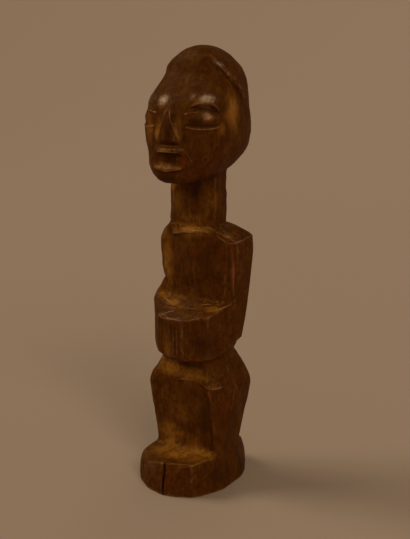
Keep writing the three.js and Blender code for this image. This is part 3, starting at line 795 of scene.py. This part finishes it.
polished = painted(POLISHED_SPOTS)
for line, above, below, up in POLISHED_LINES:
    polished = np.maximum(polished, skin.band(line, above, below, up, ends=2))
near_mean = stretched(skin.at, EDGE_SIZE)
far_mean = stretched(near_mean, HOLLOW_SIZE)
proud = ((skin.at - near_mean) * skin.out).sum(1)
sunk = ((far_mean - skin.at) * skin.out).sum(1)
masks = {
    "worn_edge": smooth((proud - EDGE_FROM) / EDGE_FULL),
    "hollow": smooth(sunk / HOLLOW_FULL),
    "crease": smooth((-proud - EDGE_FROM) / (0.6 * EDGE_FULL)),
    "upward": smooth(skin.out[:, 2]),
    "pale": painted(PALE_AND_LIT_SPOTS),
    "dark": painted(SHADE_SPOTS),
    "red": painted(RED_SPOTS),
    "olive": painted(OLIVE_SPOTS),
    "polished": polished,
}
figure.data.vertices.foreach_set("co", (skin.at * MM).ravel())
for name, values in masks.items():
    layer = figure.data.attributes.new(name, "FLOAT", "POINT")
    layer.data.foreach_set("value", values.astype(np.float32))
figure.data.update()

MOST_TRIANGLES = 180000
triangles = 2 * len(figure.data.polygons)
if triangles > MOST_TRIANGLES:
    finish_modifier(figure, "fewer_triangles", "DECIMATE", ratio=MOST_TRIANGLES / triangles)


# The drying crack
# One crack runs down the front of the base, straight with the grain, and closes up towards
# the sole and the top. It is cut with a thin wavy blade, widest and deepest half way up.

CRACK_FRONT, CRACK_BACK, CRACK_TOP, CRACK_WIDEST = -23.0, -17.5, 11.6, 0.5
INNER_SHARE = 0.25
SHARP_EDGE = 55
CRACK_AT = [
    # height, middle across, half its width, how far back it goes
    (-1.0, 0.10, 0.06, -20.4), (1.5, 0.30, 0.20, -19.4), (4.0, 0.48, 0.36, -18.0),
    (6.0, 0.36, 0.42, -17.6), (8.0, 0.46, 0.40, -17.9), (9.6, 0.40, 0.36, -18.6),
    (10.6, 0.24, 0.28, -19.4), (11.6, 0.18, 0.08, -20.6),
]

bpy.ops.object.select_all(action="DESELECT")
bpy.ops.mesh.primitive_cube_add(size=1)
blade = bpy.context.object
blade.name = "crack_blade"
bpy.ops.object.mode_set(mode="EDIT")
bpy.ops.mesh.select_all(action="SELECT")
bpy.ops.transform.resize(value=(0.5 * MM, (CRACK_BACK - CRACK_FRONT) * MM, (CRACK_TOP + 1) * MM))
bpy.ops.transform.translate(value=(0, (CRACK_BACK + CRACK_FRONT) / 2 * MM, (CRACK_TOP - 1) / 2 * MM))
for cut in CRACK_AT[1:-1]:
    bpy.ops.mesh.select_all(action="SELECT")
    bpy.ops.mesh.bisect(plane_co=(0, 0, cut[0] * MM), plane_no=(0, 0, 1))
bpy.ops.object.mode_set(mode="OBJECT")
for point in blade.data.vertices:
    z, middle, half, back = min(CRACK_AT, key=lambda cut: abs(cut[0] * MM - point.co.z))
    inner = point.co.y > (CRACK_BACK + CRACK_FRONT) / 2 * MM
    half *= INNER_SHARE if inner else 1
    x, y = middle + math.copysign(half, point.co.x), back if inner else CRACK_FRONT
    point.co = Vector((x, y, z)) * MM
finish_modifier(figure, "crack", "BOOLEAN", operation="DIFFERENCE", object=blade, solver="EXACT")
bpy.data.objects.remove(blade)
# Painted shade: the inside of the crack is coloured dark.
heights, middles = np.array(CRACK_AT)[:, 0], np.array(CRACK_AT)[:, 1]
for point, darkness in zip(figure.data.vertices, figure.data.attributes["dark"].data):
    x, y, z = point.co / MM
    if y < CRACK_BACK and z < CRACK_TOP and abs(x - np.interp(z, heights, middles)) < CRACK_WIDEST:
        darkness.value = 1
bpy.ops.object.select_all(action="DESELECT")
bpy.context.view_layer.objects.active = figure
figure.select_set(True)
bpy.ops.object.shade_smooth_by_angle(angle=math.radians(SHARP_EDGE))


# The wood
# Dark dense hardwood with a fine upright grain and small open pores. Oil and handling have
# given it a deep brown skin, patchy in tone, dull but for the polish on what stands proud.

DARK_WOOD = (0.072, 0.022, 0.0014, 1)
BROWN_WOOD = (0.130, 0.043, 0.0030, 1)
AMBER_WOOD = (0.230, 0.085, 0.0070, 1)
# Pale honey-coloured wood, also used as painted light on lit faces.
HONEY_AND_PAINTED_LIGHT = (0.435, 0.198, 0.0300, 1)
RED_WOOD = (0.190, 0.038, 0.0040, 1)
OLIVE_WOOD = (0.150, 0.082, 0.0140, 1)
WORN_EDGE = (0.460, 0.215, 0.0550, 1)
# Near-black brown, used for the painted shade and for the open pores.
SHADE_AND_PORE_DARK = (0.028, 0.0095, 0.0010, 1)
DUST = (0.340, 0.160, 0.0220, 1)
GRAIN_SIZE = (0.5, 0.5, 9.0)
PORE_SIZE = (0.24, 0.24, 2.2)
MOTTLE_SIZE = (4.2, 4.2, 5.5)
PATCH_SIZE = (1.2, 1.2, 1.7)
STAIN_SIZE = (2.6, 2.6, 4.0)
SPECK_SIZE = (0.45, 0.45, 0.6)
BUMP_STRENGTH, BUMP_DEPTH = 0.8, 0.00022
POLISH_ROUGHNESS, POLISH_INDEX = 0.21, 1.65
DULL_SHINE = 0.05

wood = bpy.data.materials.new("old_hardwood")
wood.use_nodes = True
tree = wood.node_tree
shader = tree.nodes["Principled BSDF"]


def node(kind, settings=None, **inputs):
    """A shader node. Settings are its own options; an input is a value, or another node's output."""
    made = tree.nodes.new(kind)
    for key, value in (settings or {}).items():
        setattr(made, key, value)
    for key, value in inputs.items():
        if isinstance(value, bpy.types.NodeSocket):
            tree.links.new(value, made.inputs[key])
        else:
            made.inputs[key].default_value = value
    return made


def noise(size, detail, roughness, shift=0.0):
    """Wood noise from 0 to 1 in lumps of this size in millimetres. shift gives another piece of it."""
    placed = node("ShaderNodeMapping", Vector=here, Location=(shift, shift, shift),
                  Scale=tuple(1 / (s * MM) for s in size))
    made = node("ShaderNodeTexNoise", Vector=placed.outputs[0], Scale=1.0, Detail=detail,
                Roughness=roughness)
    return made.outputs["Fac"]


def maths(kind, *values):
    made = node("ShaderNodeMath", {"operation": kind, "use_clamp": kind != "SUBTRACT"})
    for socket, value in zip(made.inputs, values):
        if isinstance(value, bpy.types.NodeSocket):
            tree.links.new(value, socket)
        else:
            socket.default_value = value
    return made.outputs[0]


def between(value, low, high):
    """0 where value is at low, 1 where it is at high, with a soft change."""
    made = node("ShaderNodeMapRange", {"interpolation_type": "SMOOTHSTEP"}, Value=value)
    made.inputs["From Min"].default_value = low
    made.inputs["From Max"].default_value = high
    return made.outputs[0]


def mask(name):
    return node("ShaderNodeAttribute", {"attribute_name": name}).outputs["Fac"]


def blend(share, first, second):
    made = node("ShaderNodeMix", {"data_type": "RGBA"})
    for socket, value in zip([made.inputs[i] for i in (0, 6, 7)], (share, first, second)):
        if isinstance(value, bpy.types.NodeSocket):
            tree.links.new(value, socket)
        else:
            socket.default_value = value
    return made.outputs[2]


here = node("ShaderNodeTexCoord").outputs["Object"]
grain = noise(GRAIN_SIZE, 3, 0.55)
pores = noise(PORE_SIZE, 2, 0.5)
mottle = noise(MOTTLE_SIZE, 4, 0.55)
patches = noise(PATCH_SIZE, 4, 0.6, 7.3)
stains = noise(STAIN_SIZE, 4, 0.6, 21.7)
specks = noise(SPECK_SIZE, 3, 0.6, 3.1)

tone = maths("ADD", maths("MULTIPLY", mottle, 0.45), maths("MULTIPLY", patches, 0.3))
tone = maths("ADD", tone, maths("MULTIPLY", grain, 0.25))
colour = blend(between(tone, 0.36, 0.64), DARK_WOOD, BROWN_WOOD)
amber = maths("MULTIPLY", between(stains, 0.46, 0.74), between(patches, 0.30, 0.70))
colour = blend(maths("MULTIPLY", amber, 0.6), colour, AMBER_WOOD)
olive = maths("ADD", maths("MULTIPLY", mask("olive"), 0.85),
              maths("MULTIPLY", between(mottle, 0.56, 0.70), 0.45))
colour = blend(maths("MULTIPLY", olive, between(patches, 0.30, 0.60)), colour, OLIVE_WOOD)
reddish = maths("ADD", maths("MULTIPLY", mask("red"), 0.9),
                maths("MULTIPLY", between(stains, 0.44, 0.32), 0.35))
colour = blend(maths("MULTIPLY", reddish, between(patches, 0.25, 0.55)), colour, RED_WOOD)
# The pale mask brings honey wood and dust, and on the face painted light and painted highlight.
pale_and_lit = maths("MULTIPLY", mask("pale"),
               maths("ADD", maths("MULTIPLY", between(tone, 0.42, 0.56), 0.6), 0.35))
colour = blend(pale_and_lit, colour, HONEY_AND_PAINTED_LIGHT)
sheltered = maths("MULTIPLY", mask("hollow"), mask("upward"))
dusty = maths("MULTIPLY", sheltered, between(patches, 0.35, 0.6))
colour = blend(maths("MULTIPLY", dusty, 0.5), colour, DUST)
# Painted shade: the shade spots and the creases are coloured near-black brown.
painted_shade = maths("MAXIMUM", maths("MULTIPLY", mask("dark"), between(patches, 0.25, 0.55)),
             maths("MULTIPLY", mask("crease"), 0.6))
colour = blend(maths("MULTIPLY", painted_shade, 0.85), colour, SHADE_AND_PORE_DARK)
rubbed = maths("SUBTRACT", mask("worn_edge"), mask("dark"))
rubbed = maths("MULTIPLY", rubbed, between(stains, 0.30, 0.55))
colour = blend(maths("MULTIPLY", rubbed, 0.45), colour, WORN_EDGE)
open_pores = between(pores, 0.62, 0.72)
colour = blend(maths("MULTIPLY", open_pores, 0.45), colour, SHADE_AND_PORE_DARK)
tree.links.new(colour, shader.inputs["Base Color"])

polish = maths("MAXIMUM", mask("polished"), maths("MULTIPLY", mask("worn_edge"), 0.9))
polish = maths("MULTIPLY", polish, between(specks, 0.33, 0.55))
rough = maths("ADD", maths("MULTIPLY", specks, 0.25), maths("MULTIPLY", dusty, 0.2))
rough = maths("SUBTRACT", maths("ADD", rough, 0.45), maths("MULTIPLY", polish, 0.15))
tree.links.new(rough, shader.inputs["Roughness"])
tree.links.new(maths("ADD", maths("MULTIPLY", polish, 0.9), 0.02), shader.inputs["Coat Weight"])
shader.inputs["Coat Roughness"].default_value = POLISH_ROUGHNESS
shader.inputs["Coat IOR"].default_value = POLISH_INDEX
shader.inputs["Specular IOR Level"].default_value = DULL_SHINE

height = maths("ADD", maths("MULTIPLY", grain, 0.25), maths("MULTIPLY", specks, 0.3))
height = maths("ADD", height, maths("MULTIPLY", patches, 0.3))
height = maths("SUBTRACT", height, maths("MULTIPLY", open_pores, 0.2))
rise = node("ShaderNodeBump", Height=height, Strength=BUMP_STRENGTH, Distance=BUMP_DEPTH)
tree.links.new(rise.outputs[0], shader.inputs["Normal"])
tree.links.new(rise.outputs[0], shader.inputs["Coat Normal"])
figure.data.materials.append(wood)
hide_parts("figure")
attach(figure, "root")


# Floor
# A sheet of plain pale card that the figure stands on, rising gently all round far out.

FLOOR_MIDDLE = 0.25
FLOOR_RIM = [(1.8, 0), (1.5, 0), (1.3, 0.04), (1.3, 0.13), (1.3, 0.2), (1.3, 0.28), (1.2, 0.5)]
FLOOR_COLOUR = (0.575, 0.50, 0.49, 1)
FLOOR_ROUGHNESS = 0.9

bpy.ops.object.select_all(action="DESELECT")
bpy.ops.mesh.primitive_circle_add(vertices=64, radius=FLOOR_MIDDLE, fill_type="NGON")
floor = bpy.context.object
floor.name = "floor"
bpy.ops.object.mode_set(mode="EDIT")
bpy.ops.mesh.select_mode(type="EDGE")
bpy.ops.mesh.select_all(action="SELECT")
for wider, up in FLOOR_RIM:
    bpy.ops.mesh.extrude_edges_move(TRANSFORM_OT_translate={"value": (0, 0, up)})
    bpy.ops.transform.resize(value=(wider, wider, 1))
bpy.ops.object.mode_set(mode="OBJECT")
finish_modifier(floor, "round_rim", "SUBSURF", levels=2, render_levels=2)
bpy.ops.object.shade_smooth()
card = bpy.data.materials.new("pale_card")
card.use_nodes = True
card_shader = card.node_tree.nodes["Principled BSDF"]
card_shader.inputs["Base Color"].default_value = FLOOR_COLOUR
card_shader.inputs["Roughness"].default_value = FLOOR_ROUGHNESS
floor.data.materials.append(card)


# Lights
# Two soft warm lights, one high on each side of the camera, a weak one behind, and a weak
# even light all round.

LAMPS = [
    # name, round from the front, above the floor, strength, softness
    ("left_lamp", -72, 44, 0.80, 28),
    ("right_lamp", 54, 38, 0.56, 26),
    ("back_lamp", 190, 45, 0.09, 30),
]
LAMP_COLOUR = (1.0, 0.75, 0.45)
AROUND_COLOUR = (1.0, 0.74, 0.44, 1)
AROUND_STRENGTH = 0.12

for name, turn, rise, strength, softness in LAMPS:
    lamp = bpy.data.objects.new(name, bpy.data.lights.new(name, "SUN"))
    lamp.data.energy = strength
    lamp.data.angle = math.radians(softness)
    lamp.data.color = LAMP_COLOUR
    lamp.rotation_euler = (math.radians(90 - rise), 0, math.radians(turn))
    bpy.context.scene.collection.objects.link(lamp)

world = bpy.data.worlds.new("studio")
world.use_nodes = True
world.node_tree.nodes["Background"].inputs["Color"].default_value = AROUND_COLOUR
world.node_tree.nodes["Background"].inputs["Strength"].default_value = AROUND_STRENGTH
bpy.context.scene.world = world
bpy.context.scene.view_settings.view_transform = "Standard"
